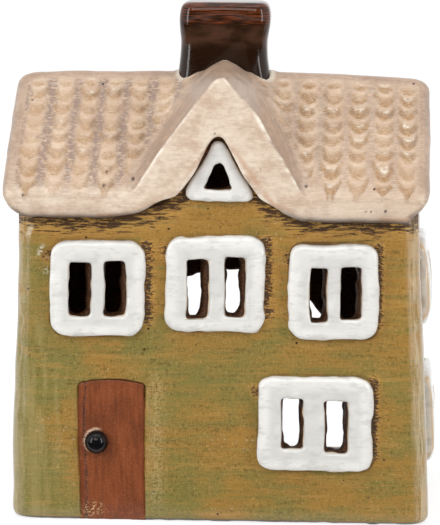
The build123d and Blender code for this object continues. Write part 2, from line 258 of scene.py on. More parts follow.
class Paint:
    """The nodes of one material or of the world, added by short calls.

    Where a number can stand, a word in quotes is the number of that name kept on the piece's points, and
    a group of a number and two limits is the number eased from the first limit to the second.
    """

    def __init__(self, name, holders=bpy.data.materials, coordinates="Object"):
        self.holder = holders.new(name)
        self.holder.use_nodes = True
        self.tree = self.holder.node_tree
        self.place = self.node("ShaderNodeTexCoord").outputs[coordinates]
        self.colour = (0, 0, 0)

    def node(self, kind, inputs=None, **settings):
        """Adds a node, sets it and fills or links its inputs."""
        made = self.tree.nodes.new(kind)
        for key, value in settings.items():
            setattr(made, key, value)
        for socket, value in (inputs or {}).items():
            self.fill(made.inputs[socket], value)
        return made

    def fill(self, socket, value):
        """Links a socket to another, to a stored number or to an eased one, or gives it a value."""
        if isinstance(value, str):
            value = self.node("ShaderNodeAttribute", attribute_name=value).outputs["Fac"]
        elif isinstance(value, tuple) and isinstance(value[0], (str, bpy.types.NodeSocket)):
            value = self.ease(*value)
        if isinstance(value, bpy.types.NodeSocket):
            self.tree.links.new(value, socket)
        elif socket.type == "RGBA" and len(value) == 3:
            socket.default_value = (*value, 1)
        else:
            socket.default_value = value

    def spread(self, size, stretch, shift):
        """Places counted in lumps of a size in millimetres, times the stretch."""
        scale = [1 / (size * MM * share) for share in stretch]
        return self.node(
            "ShaderNodeMapping", {"Vector": self.place, "Location": (shift,) * 3, "Scale": scale}).outputs[0]

    def noise(self, size, stretch=(1, 1, 1), detail=3, roughness=0.5, shift=0):
        """Noise from 0 to 1, whose lumps are about that size times the stretch."""
        place = self.spread(size, stretch, shift)
        return self.node("ShaderNodeTexNoise", {
            "Vector": place, "Scale": 1.0, "Detail": detail, "Roughness": roughness,
        }).outputs["Fac"]

    def cells(self, size, shift=0):
        """The distance to the nearest of scattered points, in cells of that size."""
        place = self.spread(size, (1, 1, 1), shift)
        return self.node("ShaderNodeTexVoronoi", {"Vector": place, "Scale": 1.0}).outputs["Distance"]

    def along(self, axis):
        """How far points lie along an axis, in metres."""
        return self.node("ShaderNodeSeparateXYZ", {0: self.place}).outputs[axis]

    def sum(self, operation, *numbers):
        """The result of one sum."""
        return self.node("ShaderNodeMath", dict(enumerate(numbers)), operation=operation).outputs[0]

    def times(self, first, second, more=None):
        """Two numbers multiplied, and a third added to that."""
        if more is None:
            return self.sum("MULTIPLY", first, second)
        return self.sum("MULTIPLY_ADD", first, second, more)

    def plus(self, first, second):
        """Two numbers added."""
        return self.sum("ADD", first, second)

    def minus(self, first, second):
        """One number less another."""
        return self.sum("SUBTRACT", first, second)

    def most(self, first, second):
        """The greater of two numbers."""
        return self.sum("MAXIMUM", first, second)

    def ease(self, value, low, high):
        """0 to 1 as the value goes from low to high, with a smooth rise."""
        return self.node("ShaderNodeMapRange", {
            "Value": value, "From Min": low, "From Max": high,
        }, interpolation_type="SMOOTHSTEP").outputs[0]

    def mix(self, share, first, second):
        """A colour between two others."""
        return self.node("ShaderNodeMix", {0: share, 6: first, 7: second}, data_type="RGBA").outputs[2]

    def base(self, share, first, second):
        """Starts the glaze with a colour between two others."""
        self.colour = self.mix(share, first, second)

    def lay(self, tone, strength, share, *more):
        """Lays a tone over the glaze, where all the shares meet."""
        for other in more:
            share = self.times(share, other)
        if strength != 1:
            share = self.times(share, strength)
        self.colour = self.mix(share, self.colour, tone)

    def finish(self, roughness, relief=None, depth=0, **sockets):
        """Fills the shader, with a relief from 0 to 1 that is depth millimetres deep.

        The other sockets' names have underscores for spaces.
        """
        shader = self.tree.nodes["Principled BSDF"]
        sockets |= {"Base_Color": self.colour, "Roughness": roughness}
        if relief is not None:
            sockets["Normal"] = self.node(
                "ShaderNodeBump", {"Height": relief, "Strength": 1, "Distance": depth * MM}).outputs[0]
        for name, value in sockets.items():
            self.fill(shader.inputs[name.replace("_", " ")], value)
        return self.holder


def wall_paint():
    """Green and ochre glazes wiped over each other, with dark clay rubbed in under the eaves and frames,
    painted shade deep in the slots, inside, along the foot and in a line just under the eaves, and painted
    highlights down the corners, along the ridge beside the door and as glints at the upper left.
    """
    olive, ochre, honey = (0.226, 0.19, 0.046), (0.36, 0.192, 0.036), (0.47, 0.255, 0.062)
    moss, gold = (0.2, 0.184, 0.046), (0.44, 0.25, 0.062)
    straw, umber, sand = (0.52, 0.37, 0.15), (0.13, 0.074, 0.016), (0.45, 0.34, 0.14)
    amber, rust, black_clay = (0.7, 0.385, 0.09), (0.4, 0.165, 0.036), (0.052, 0.022, 0.009)
    cream, glint_buff, clay = (0.74, 0.62, 0.44), (0.66, 0.58, 0.42), (0.6, 0.47, 0.3)
    joint_and_shade_brown, pit_brown = (0.045, 0.022, 0.01), (0.05, 0.025, 0.01)
    pale_green, ridge_highlight_tan = (0.6, 0.52, 0.32), (0.5, 0.39, 0.19)
    slot_shade_black, slot_brown = (0.035, 0.013, 0.005), (0.135, 0.052, 0.016)
    paint = Paint("wall_glaze")
    height = paint.along("Z")
    patch = paint.noise(15, (1.5, 1.5, 1), 3, 0.6)
    streak = paint.noise(0.8, (14, 14, 1), 4, 0.65)
    grain = paint.noise(0.38, (2.6, 2.6, 1), 3, 0.7, 4)
    comb = paint.noise(0.38, (1, 1, 3.4), 3, 0.7, 6)
    cloth = paint.times(grain, 0.55, paint.times(comb, 0.45))
    left = paint.ease(paint.along("X"), -34 * MM, -50 * MM)
    warm = paint.times(patch, 3.4, paint.times(streak, 0.9, -1.96))
    warm = paint.plus(warm, (height, 40 * MM, 78 * MM))
    warm = paint.plus(warm, paint.times(cloth, 2.0, -1.0))
    warm = paint.times(left, -0.65, warm)
    paint.base((warm, -0.45, 0.75), olive, ochre)
    paint.lay(honey, 0.45, (streak, 0.56, 0.8))
    for tone, shift, low, high in ((moss, 15, 0.5, 0.64), (gold, 17, 0.54, 0.66)):
        paint.lay(tone, 0.5, (paint.noise(2.2, (7, 7, 1), 4, 0.6, shift), low, high))
    paint.lay(straw, 0.62, (cloth, 0.54, 0.68))
    paint.lay(umber, 0.7, (paint.times(streak, 0.35, cloth), 0.665, 0.52))
    wiped = paint.ease(paint.noise(2.4, (1, 1, 9), 3, 0.5, 7), 0.46, 0.66)
    paint.lay(sand, 0.38, wiped, left, (height, 62 * MM, 48 * MM))
    # Dark clay rubbed into the joints
    eave = paint.ease("eave_gap", 10.0, 0.0)
    dash = paint.noise(0.46, (8, 8, 1), 4, 0.7, 9)
    tick = paint.noise(0.4, (2.6, 2.6, 1), 3, 0.65, 11)
    rub = paint.most(
        (paint.times(eave, 0.36, dash), 0.73, 0.79), (paint.times("stain", 0.34, tick), 0.74, 0.8))
    stained = paint.most(paint.times(eave, 0.7), paint.times("stain", 0.75))
    paint.lay(paint.mix((dash, 0.44, 0.62), amber, rust), 1, stained)
    paint.lay(black_clay, 0.92, rub)
    paint.lay(cream, 0.8, ("stain", 0.45, 0.9), (grain, 0.635, 0.675))
    # Dark joints round the frames, and painted shade in a thin line just under the eaves and along the foot
    # where the walls meet the table
    uneven = paint.times((patch, 0.45, 0.6), 0.5, 0.15)
    joint = paint.times(("frame_gap", 0.7, 0.1), uneven)
    eave_shadow_line = paint.times(("eave_gap", 0.9, 0.2), (height, 89 * MM, 86 * MM))
    foot = paint.ease(height, 1.1 * MM, 0.4 * MM)
    paint.lay(joint_and_shade_brown, 1, paint.most(paint.most(joint, eave_shadow_line), foot))
    pits = paint.ease(paint.cells(5.5), 0.07, 0.045)
    paint.lay(pit_brown, 1, pits)
    paint.lay(pale_green, 0.4, (paint.cells(1.6, 2.1), 0.22, 0.1), (patch, 0.56, 0.64))
    # Painted highlight: tan along the ridge beside the door
    paint.lay(ridge_highlight_tan, 0.45, "ridge", (cloth, 0.42, 0.55))
    # Painted glints: pale slanting marks at the upper left
    paint.lay(glint_buff, 0.85, "scuff", (cloth, 0.43, 0.53))
    # Painted highlight: a pale strip down the corners, strongest at the right, stands for glare on their
    # rounding
    paint.lay(clay, 1, "corner", (paint.noise(1.0, (1, 1, 12), 3, 0.6, 13), 0.3, 0.62))
    # Painted shade: near-black mottled with brown, deep in the slots and over the whole inside of the walls
    paint.lay(paint.mix((tick, 0.42, 0.62), slot_shade_black, slot_brown), 1, "deep")
    relief = paint.times(cloth, 0.7, paint.times(streak, 0.8))
    relief = paint.minus(relief, paint.most(pits, paint.times(rub, 0.5)))
    bare = paint.most(rub, "deep")
    return paint.finish(
        paint.times(bare, 0.45, paint.times(patch, 0.2, 0.14)), relief, 0.12,
        Specular_IOR_Level=0.38, Coat_Weight=paint.times(bare, -0.45, 0.45), Coat_Roughness=0.26)


def roof_paint():
    """Cream and taupe glaze, thin and golden on the tiles' lips and mauve between the columns, with painted
    glints on some lips, a painted highlight over thin glaze on the convex edges, and painted shade in the
    creases, on the gable's flanks, under the eaves and inside.
    """
    dark_taupe, taupe = (0.4, 0.268, 0.188), (0.54, 0.38, 0.272)
    biscuit, cream = (0.58, 0.42, 0.305), (0.8, 0.67, 0.535)
    warm_crest, pale_crest, mauve = (0.6, 0.418, 0.285), (0.75, 0.57, 0.41), (0.325, 0.22, 0.17)
    honey, amber, dark_spot = (0.47, 0.29, 0.145), (0.42, 0.23, 0.095), (0.19, 0.085, 0.035)
    painted_glint_white, peach, flank_shade_taupe = (0.97, 0.9, 0.78), (0.6, 0.43, 0.3), (0.34, 0.24, 0.185)
    rim_thin_glaze_and_highlight, crease_shade_and_brush, combed = (0.9, 0.82, 0.7), (0.33, 0.225, 0.165), (0.8, 0.69, 0.56)
    seat_white, foot_rust = (0.8, 0.72, 0.6), (0.5, 0.24, 0.12)
    pit_brown, underside_shade_dark, underside_shade_pale = (0.05, 0.025, 0.015), (0.055, 0.028, 0.016), (0.55, 0.33, 0.2)
    paint = Paint("roof_glaze")
    fine = paint.noise(0.36, (9, 1.5, 1), 4, 0.6)
    broad = paint.noise(12)
    stroke = paint.noise(1.6, (4.5, 4.5, 1), 4, 0.6, 8)
    speck = paint.noise(1.0, (1.3, 1.3, 1), 4, 0.65, 3)
    dab = paint.noise(2.6, (1.8, 1.8, 1), 4, 0.6, 14)
    grit = paint.noise(0.55, (1.2, 1.2, 1), 3, 0.7, 12)
    tone = paint.ease(paint.plus(broad, paint.times(speck, 0.7, -0.35)), 0.3, 0.75)
    # The tiles
    paint.base(tone, warm_crest, pale_crest)
    paint.lay(mauve, 1, "groove", (speck, 0.3, 0.6))
    paint.lay(honey, 0.7, "drop", (speck, 0.25, 0.55))
    paint.lay(amber, 0.85, "amber", (grit, 0.63, 0.46))
    paint.lay(dark_spot, 0.8, "amber", (grit, 0.38, 0.32))
    # Painted highlights: small glints on some of the tiles' lips
    paint.lay(painted_glint_white, 0.75, "lip", (speck, 0.46, 0.54))
    # The slopes round them, the front and the gable
    paint.base("tiled", paint.mix(tone, dark_taupe, taupe), paint.colour)
    blush = paint.times(broad, 0.6, paint.times(dab, 0.6, paint.times(speck, 0.3, -0.5)))
    front = paint.mix((blush, 0.08, 0.42), biscuit, cream)
    right = paint.times((paint.along("X"), 18 * MM, 45 * MM), (dab, 0.3, 0.6))
    paint.lay(paint.mix(paint.times(right, 0.5), front, peach), 1, "front")
    # Taupe brush strokes on the gable's sideways-facing flanks, darkened there as painted shade
    paint.lay(flank_shade_taupe, 0.6, "upper", (stroke, 0.35, 0.62))
    untiled = paint.times("tiled", -0.85, 1.0)
    # Thin glaze with a painted highlight: pale along the convex edges, off the tiles
    paint.lay(rim_thin_glaze_and_highlight, 1, ("edge", 0.3, 0.85), untiled, (dab, 0.3, 0.62))
    # Painted shade: dark in the concave creases; the same colour draws fine brush lines just below
    paint.lay(crease_shade_and_brush, 1, ("edge", -0.25, -0.95))
    brushed = paint.times("front", -0.18, 0.38)
    paint.lay(crease_shade_and_brush, 1, (fine, 0.5, 0.68), (broad, 0.35, 0.55), brushed)
    paint.lay(combed, 1, (fine, 0.46, 0.32), paint.times("groove", 0.15, 0.3))
    paint.lay(seat_white, 0.6, "seat")
    paint.lay(foot_rust, 0.5, "foot")
    pits = paint.most((paint.cells(12, 1.3), 0.04, 0.025), "pit")
    paint.lay(pit_brown, 1, pits)
    # Painted shade: dark brown on faces turned down near the eaves and inside the roof, paler brown in the
    # gable's opening
    paint.lay(paint.mix("reveal", underside_shade_dark, underside_shade_pale), 1, "under")
    gritty = paint.most("amber", "drop")
    relief = paint.minus(paint.times(speck, 0.9, paint.times(fine, 0.6)), pits)
    relief = paint.times(paint.times(grit, gritty), 3.0, relief)
    dull = paint.times(gritty, (grit, 0.64, 0.5))
    return paint.finish(
        paint.times(speck, 0.25, paint.times(dull, 0.42, 0.22)), paint.times(stroke, 0.7, relief), 0.13,
        Coat_Weight=paint.times("front", 0.15), Coat_Roughness=0.1)


def chimney_paint():
    """Glossy dark brown glaze that thins to reddish brown in level streaks near the top."""
    black_brown, haze, red_brown = (0.017, 0.006, 0.0015), (0.066, 0.029, 0.016), (0.18, 0.042, 0.012)
    paint = Paint("chimney_glaze")
    streak = paint.noise(0.36, (16, 16, 1), 4, 0.65)
    blotch = paint.noise(6, (2, 2, 1))
    height = paint.along("Z")
    thin = paint.ease(height, 131.2 * MM, 133.5 * MM)
    share = paint.plus(paint.times(thin, 0.22), paint.times(blotch, 0.3, streak))
    uneven = paint.times(blotch, 6 * MM, height)
    below_top = paint.ease(height, 133.5 * MM, 131.5 * MM)
    milky = paint.times((uneven, 128.5 * MM, 132.5 * MM), below_top)
    paint.base(paint.times(milky, (blotch, 0.35, 0.6)), black_brown, haze)
    paint.lay(red_brown, 1, (share, 0.76, 1.08))
    return paint.finish(
        paint.times(blotch, 0.08, 0.04), paint.times(streak, 0.5, blotch), 0.03,
        Specular_IOR_Level=0.22, Coat_Weight=0.25, Coat_Roughness=0.03)


def frame_paint():
    """Glossy white glaze, grey where it runs thin, warm at its edges with a painted cream highlight on them,
    brown in the slots and near-black painted shade where they go deepest.
    """
    off_white, white, grey = (0.79, 0.775, 0.735), (0.86, 0.845, 0.81), (0.645, 0.632, 0.605)
    sweep_grey, brush_grey, rim_cream_highlight = (0.6, 0.592, 0.57), (0.58, 0.57, 0.55), (0.9, 0.87, 0.8)
    crease_brown, brim_brown, lip_tan = (0.5, 0.33, 0.16), (0.66, 0.44, 0.22), (0.8, 0.6, 0.36)
    slot_brown, slot_shade_black = (0.13, 0.05, 0.018), (0.035, 0.017, 0.009)
    paint = Paint("window_glaze")
    cloud = paint.noise(6, (1, 1, 1), 2)
    brush = paint.noise(0.6, (7, 7, 1), 3, 0.6)
    sweep = paint.noise(2.2, (2.2, 2.2, 1), 3, 0.6, 5)
    paint.base((cloud, 0.35, 0.7), off_white, white)
    paint.lay(grey, 1, "middle", (cloud, 0.25, 0.55))
    paint.lay(sweep_grey, 0.6, (sweep, 0.5, 0.66))
    paint.lay(brush_grey, 0.35, (brush, 0.54, 0.72))
    # Painted highlight: cream along the convex edges
    paint.lay(rim_cream_highlight, 1, ("edge", 0.3, 0.8))
    paint.lay(crease_brown, 1, ("edge", -0.45, -0.95))
    paint.lay(brim_brown, 1, "brim")
    paint.lay(lip_tan, 1, ("deep", 0.05, 0.35))
    paint.lay(slot_brown, 1, ("deep", 0.3, 0.55))
    # Painted shade: near-black where the slots go deepest
    paint.lay(slot_shade_black, 1, ("deep", 0.6, 1.0))
    relief = paint.times(brush, 0.5, paint.times(sweep, 0.8, cloud))
    return paint.finish(
        paint.times(cloud, 0.1, paint.times("deep", 0.5, 0.07)), relief, 0.08,
        Coat_Weight=paint.times("deep", -0.5, 0.5), Coat_Roughness=0.04)


def door_paint():
    """Terracotta brown glaze, brushed upright, dark along a scored line at its left and worn at its foot,
    with painted shade in its creases and a pale collar round the knob that is partly a painted highlight.
    """
    brown, terracotta, fleck = (0.15, 0.038, 0.012), (0.285, 0.074, 0.022), (0.4, 0.16, 0.06)
    line_black, crease_shade_black = (0.045, 0.022, 0.018), (0.045, 0.018, 0.01)
    collar_clay_and_highlight, worn_ochre = (0.78, 0.56, 0.38), (0.66, 0.42, 0.2)
    paint = Paint("door_glaze")
    stroke = paint.noise(0.6, (1, 1, 14), 4, 0.6)
    cloud = paint.noise(5, (1, 1, 1.6))
    grain = paint.noise(0.45, (1.5, 1.5, 1), 3, 0.7, 3)
    share = paint.times(cloud, 0.7, paint.times(grain, 0.6, paint.times(stroke, 0.6)))
    paint.base((share, 0.7, 1.2), brown, terracotta)
    paint.lay(fleck, 0.4, (grain, 0.58, 0.7))
    scored = paint.times("scored", (grain, 0.62, 0.4))
    paint.lay(line_black, 0.8, scored)
    # Painted shade: near-black in the concave creases round the door's edges
    paint.lay(crease_shade_black, 1, ("edge", -0.3, -0.9), (cloud, 0.35, 0.6))
    # Pale clay where the glaze tore round the knob, on its upper left only, partly a painted highlight
    paint.lay(collar_clay_and_highlight, 1, "collar", (grain, 0.36, 0.5))
    paint.lay(worn_ochre, 1, "worn", (grain, 0.52, 0.6))
    return paint.finish(
        paint.times(stroke, 0.2, 0.22), paint.minus(share, scored), 0.13,
        Specular_IOR_Level=0.35, Coat_Weight=0.15, Coat_Roughness=0.1)


def knob_paint():
    """Glossy black glaze with a faint brown bloom."""
    black, brown = (0.004, 0.004, 0.005), (0.02, 0.01, 0.006)
    paint = Paint("knob_glaze")
    bloom = paint.noise(1.4)
    paint.base((bloom, 0.5, 0.8), black, brown)
    return paint.finish(paint.times(bloom, 0.05, 0.03), bloom, 0.02, IOR=1.33)


def clay_paint():
    """Bare fired clay."""
    dark_clay, pale_clay, grit = (0.24, 0.12, 0.06), (0.36, 0.2, 0.11), (0.16, 0.085, 0.045)
    paint = Paint("bare_clay")
    grain = paint.noise(0.4, (1, 1, 1), 4, 0.65)
    paint.base((paint.noise(10), 0.35, 0.65), dark_clay, pale_clay)
    paint.lay(grit, 1, (grain, 0.5, 0.8))
    return paint.finish(paint.times(grain, 0.2, 0.65), grain, 0.12)


def metal_paint(name, colour, roughness):
    """Thin pressed metal with fine rolling marks."""
    paint = Paint(name)
    scratch = paint.noise(0.35, (1, 1, 9), 3, 0.6)
    dull = tuple(share * 0.8 for share in colour)
    paint.base(scratch, dull, colour)
    return paint.finish(paint.times(scratch, 0.2, roughness), scratch, 0.03, Metallic=1.0)


def wax_paint():
    """White paraffin, a little see-through and cloudy."""
    dim_white, white = (0.8, 0.78, 0.72), (0.88, 0.87, 0.83)
    paint = Paint("wax")
    cloud = paint.noise(4)
    paint.base(cloud, dim_white, white)
    return paint.finish(
        paint.times(cloud, 0.15, 0.3), cloud, 0.08,
        Subsurface_Weight=0.3, Subsurface_Scale=2 * MM)


def wick_paint():
    """Waxed cotton braid."""
    dim_cotton, cotton = (0.62, 0.58, 0.5), (0.86, 0.83, 0.76)
    paint = Paint("wick_cotton")
    braid = paint.noise(0.35, (1, 1, 1.6), 2, 0.6)
    paint.base((braid, 0.35, 0.7), dim_cotton, cotton)
    return paint.finish(paint.times(braid, 0.2, 0.55), braid, 0.12)


def box(name):
    """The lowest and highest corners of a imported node, in millimetres."""
    return [np.array(corner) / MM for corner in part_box(name)]


def lean_by_hand(skin):
    """The foot of the house stands a little to the right of its eaves, and further out at the right."""
    share = np.clip(1 - skin.z / eaves_height, 0, 1)
    right = ease(0, 50, skin.x)
    left = ease(0, -50, skin.x)
    left_foot = ease(22, 4, skin.z)
    skin.x += 0.95 * share * right + (0.7 * left_foot - 0.4 * (1 - share)) * left


def gap_to_soffit(skin):
    """How far points lie from the foot of the roof along the front wall, seen from the front."""
    nearest = np.full(len(skin.points), np.inf)
    flat = skin.points[:, [0, 2]]
    for start, end in zip(soffit[:-1], soffit[1:]):
        start, way = np.array(start), np.array(end) - np.array(start)
        share = np.clip(((flat - start) @ way) / (way @ way), 0, 1)
        nearest = np.minimum(nearest, np.linalg.norm(flat - start - share[:, None] * way, axis=1))
    return nearest


def wall_insets(skin):
    """How far points lie inside the side walls' and the front and back walls' leaning outer faces."""
    across = base_width / 2 - side_lean * skin.z - np.abs(skin.x)
    along = base_depth / 2 - front_lean * skin.z - np.abs(skin.y)
    return across, along


def in_front(skin):
    """1 at the front wall's face and 0 inside the house."""
    return ease(-30, -34, skin.y)


def in_front_slots(skin):
    """1 through the front wall and 0 inside the house."""
    return ease(-28, -31, skin.y)


def shift_door(skin):
    """The door and its pocket stand a little further left and are narrower than packed."""
    shift, narrowing, margin, fade = 1.3, 0.35, 1, 7
    beside = ease(door_width / 2 + fade, door_width / 2 + margin, np.abs(skin.x - door_place))
    below = ease(door_height + fade, door_height + margin, skin.z)
    share = np.clip((skin.x - door_place) / (door_width / 2), -1.2, 1.2)
    skin.x -= (shift + narrowing * share) * beside * below * in_front(skin)


def gap_to_frames(skin):
    """How far points lie outside the nearest window frame's rounded outline, or inside it below 0."""
    nearest = np.full(len(skin.points), np.inf)
    for name in window_frames:
        low, high = box(name)
        corner = np.full(3, frame_corner)
        corner[np.argmin(high - low)] = 0
        outside = np.maximum(np.maximum(low + corner - skin.points, skin.points - high + corner), 0)
        nearest = np.minimum(nearest, np.sqrt((outside ** 2).sum(1)) - frame_corner)
    return nearest


def stains_beside(skin):
    """Where dark clay shows right of each front frame and at its upper left corner, from 0 to 1."""
    most = np.zeros(len(skin.points))
    for name, reach in stain_reach.items():
        low, high = box(name + "_window_frame")
        beyond = skin.x - high[0] + 1
        level = ease(0, 5, skin.z - low[2]) * ease(0, 2.5, high[2] - skin.z + 1.5)
        right = ease(reach + 1, 1.2, beyond) * ease(-1, 0, beyond) * level
        away = np.hypot(skin.x - low[0], skin.z - high[2] + 4.5)
        most = np.maximum(most, np.maximum(right, 0.85 * ease(3.4, 1.0, away)))
    return most * in_front(skin)


def painted_glints(skin):
    """Pale, slanting painted glints at the front's upper left corner, from 0 to 1."""
    half_width = 0.8
    most = np.zeros(len(skin.points))
    for across, up, half_length in glint_marks:
        x, z = skin.x - across, skin.z - up
        along, beside = z * 0.9 + x * 0.45, x * 0.9 - z * 0.45
        most = np.maximum(most, ease(1.1, 0.6, np.hypot(along / half_length, beside / half_width)))
    return most * in_front(skin)


def reshape_slots(skin):
    """Moves the edges of the front slots to where the knife left them."""
    reach = 2.0
    through = in_front_slots(skin)
    for (name, side), (left, right, foot, head) in slot_growth.items():
        low, high = box(name + "_window_frame")
        centre = (low + high) / 2
        across = skin.x - centre[0] - side * pane_spacing[name] / 2
        up = skin.z - centre[2]
        half_width, half_height = pane_width / 2, pane_height / 2
        level = ease(half_height + reach, half_height, np.abs(up)) * through
        beside = ease(half_width + reach, half_width, np.abs(across)) * through
        at_left, at_right, at_foot, at_head = (
            np.clip(1 - np.abs(gap) / reach, 0, 1)
            for gap in (across + half_width, across - half_width, up + half_height, up - half_height))
        skin.x += (right * at_right - left * at_left) * level
        skin.z += (head * at_head - foot * at_foot) * beside


def widen_attic_slot(skin):
    """The slot in the gable is cut a little wider, and blunt at its top."""
    slot_shift, slot_centre, wider = 0.2, 6.2, 0.45
    low, high = box("attic_window_frame")
    across = skin.x - (low[0] + high[0]) / 2 + slot_shift
    up = skin.z - low[2] - slot_centre
    push = wider * ease(5.4, 3.6, np.hypot(across, up)) * in_front_slots(skin)
    blunt = 1 + 0.5 * ease(1.0, 3.0, up) * ease(2.0, 0.3, np.abs(across))
    skin.x += push * blunt * np.sign(across) * ease(0, 0.4, np.abs(across))
    skin.z += push * np.sign(up) * ease(0, 0.4, np.abs(up)) * np.where(up > 0, 0.3, 1.0)


def ragged(skin):
    """An uneven push, the same for a frame and the wall behind it, for the edges of their slots."""
    return np.stack([skin.noise(2.6, seed, (1, 2.5, 1)) for seed in (21, 22, 23)], axis=1)


def shape_walls():
    """One seamless skin over the four walls, gently uneven, with ragged slots."""
    slot_waver, ridge_rise, joint_fill, underside_depth = 0.45, 0.45, 2, 7.2
    skin = Skin("walls", walls, 0.65)
    skin.smooth(4)
    skin.roughen((0.35, 22, 1), (0.14, 7, 2, (1.5, 1.5, 1)), (0.05, 2.2, 3, (2.5, 2.5, 1)))
    corner = ease(47, 53, np.abs(skin.x)) * ease(28, 34, np.abs(skin.y))
    skin.smooth(26, corner * ease(3, 9, skin.z))
    reshape_slots(skin)
    widen_attic_slot(skin)
    shift_door(skin)
    beside = (skin.x - door_place - door_width / 2 - 1.6) / 1.9
    ridge = np.exp(-beside ** 2) * ease(44, 36, skin.z) * ease(2, 8, skin.z) * in_front(skin)
    skin.y -= ridge_rise * ridge
    depth = np.minimum(*wall_insets(skin))
    skin.push(ragged(skin), slot_waver * ease(0.8, 2.0, depth) * ease(6.2, 5.0, depth))
    # Glaze has run into the joint round the window in the gable
    fill = ease(3.0, 1.4, gap_to_soffit(skin)) * ease(88, 90.5, skin.z)
    skin.y -= joint_fill * fill * ease(0.5, 0.8, -skin.normals()[:, 1])
    frame_gap = gap_to_frames(skin)
    under_roof = np.maximum(-over_slope(skin)[0] - underside_depth, 0)
    near_front = skin.y < -base_depth / 2 + 8
    # How strong the painted highlight down the corners is, strongest at the right
    strength = np.where(skin.x > 0, 0.75, 0.35)
    skin.store(
        ridge=ridge,
        deep=np.maximum(ease(1.7, 3.0, depth), ease(-1.0, -2.5, frame_gap)),
        eave_gap=np.where(near_front, gap_to_soffit(skin), under_roof),
        frame_gap=np.maximum(frame_gap, 0),
        stain=stains_beside(skin),
        scuff=painted_glints(skin),
        corner=strength * ease(4.6, 1.2, np.maximum(*wall_insets(skin))),
    )
    lean_by_hand(skin)
    skin.finish(wall_paint(), "wall_glaze", *walls)


def shape_floor():
    """The floor slab, lumpy where the clay was pressed in."""
    skin = Skin("floor", ["floor_slab"], 0.9)
    skin.smooth(3)
    skin.roughen((0.12, 9, 5), (0.05, 2.5, 6))
    skin.finish(clay_paint(), "bare_clay", "floor_slab")


def over_slope(skin):
    """Height of points over the roof's slopes, square to them, and their way down from the ridge."""
    down = np.abs(skin.y)
    over = (skin.z - (ridge_height - slope_rise * down)) * math.cos(slope_angle)
    way = down / math.cos(slope_angle) + over * math.sin(slope_angle)
    return over, way


def over_gable(skin):
    """Height of points over the gable's two slopes."""
    return skin.z - (gable_peak - gable_slope * np.abs(skin.x))


def column_share(skin):
    """Where points lie across their tile column, from -1 to 1, and which column that is."""
    steps = (first_column - np.abs(skin.x)) / tile_pitch
    column = np.round(steps)
    return (steps - column) * 2, column


def tiled_share(skin, way):
    """1 where tiles cover a slope, easing to 0 at its sides, its eave, its ridge and the gable."""
    side = ease(0, 1.2, first_column + 0.55 * tile_pitch - np.abs(skin.x))
    top = ease(2.5, 6.0, way)
    foot = ease(-0.4, 0.6, row_start + tile_rows * row_length + 0.2 - way)
    beside = np.where(skin.y < 0, ease(4.5, 8.5, over_gable(skin)), 1)
    return side * top * foot * beside


def upward(skin):
    """The direction square to the roof slope at each point."""
    flat = np.zeros(len(skin.points))
    return np.stack([flat, np.sign(skin.y) * math.sin(slope_angle), flat + math.cos(slope_angle)], axis=1)


def flatten_tiles(skin):
    """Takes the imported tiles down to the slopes, so that finer ones can take their place."""
    over, way = over_slope(skin)
    outward = upward(skin)
    facing = (skin.normals() * outward).sum(1)
    field = (np.abs(skin.x) < first_column + 0.9 * tile_pitch) & (way > 1.5)
    field &= way < first_row + (tile_rows + 0.6) * tile_length
    field &= (over_gable(skin) > 0.6) | (skin.y > 0)
    flat = field & (over > -0.5) & ((facing > -0.2) | (over > 0.1))
    skin.points[flat] -= outward[flat] * over[flat][:, None]
    skin.write()


def soften_gable(skin, top_side):
    """Rounds the gable's ridge into a hump that flares into the slope, widest near the house's ridge."""
    x, y = skin.x, skin.y
    back = ease(-38, -8, y)
    radius = 2.3 + 5.7 * back
    lift = 1.2 + 9.4 * back
    reach = 6 + 2 * back
    slope = ridge_height - slope_rise * np.abs(y)
    sharp = gable_peak - gable_slope * np.abs(x)
    round_top = gable_peak + lift - gable_slope * np.sqrt(x ** 2 + radius ** 2)
    near = np.clip(1 - np.abs(slope - round_top) / reach, 0, 1)
    target = np.maximum(slope, round_top) + near ** 2 * reach / 4
    exact = ease(5, 2.5, np.abs(x))
    present = np.maximum(slope, sharp) * (1 - exact) + skin.z * exact
    skin.z += (target - present) * ease(9, -1, y) * top_side
    # The front of the gable is broader near its peak, and stands a little to the right
    heights = (91, 101, 108, 115, 121, 123)
    left_growth, right_growth = (0, 0.6, 0.8, 0.7, 0.3, 0), (0, 1.5, 1.2, 1.2, 0.6, 0)
    broader = np.where(
        x < 0, np.interp(skin.z, heights, left_growth), np.interp(skin.z, heights, right_growth))
    inside = -over_gable(skin)
    skin.x += np.sign(x) * broader * ease(12, 2, inside) * ease(-11, -2, inside) * ease(-20, -30, y)
    skin.x += 0.9 * ease(-12, -38, y) * ease(103, 112, skin.z)


def close_gable(skin):
    """Brings the gable's inner edges nearer to the attic window's frame."""
    near = ease(4.5, 0.5, gap_to_soffit(skin)) * ease(-31, -34, skin.y)
    level = ease(86, 90, skin.z) * ease(104, 94, skin.z)
    skin.x -= np.sign(skin.x) * np.where(skin.x < 0, 1.9, 1.6) * near * level


def turn_up_foot(skin):
    """The band's lower edge turns up early into the gable at the left, and wavers all along."""
    turn = 1.3 * ease(-31, -22, skin.x) * ease(-8, -15, skin.x)
    waver = 0.35 * skin.noise(6, 40, (1, 1, 3)) * ease(17, 22, np.abs(skin.x))
    skin.z += (turn + waver) * ease(92, 86, skin.z) * ease(-31, -35, skin.y)


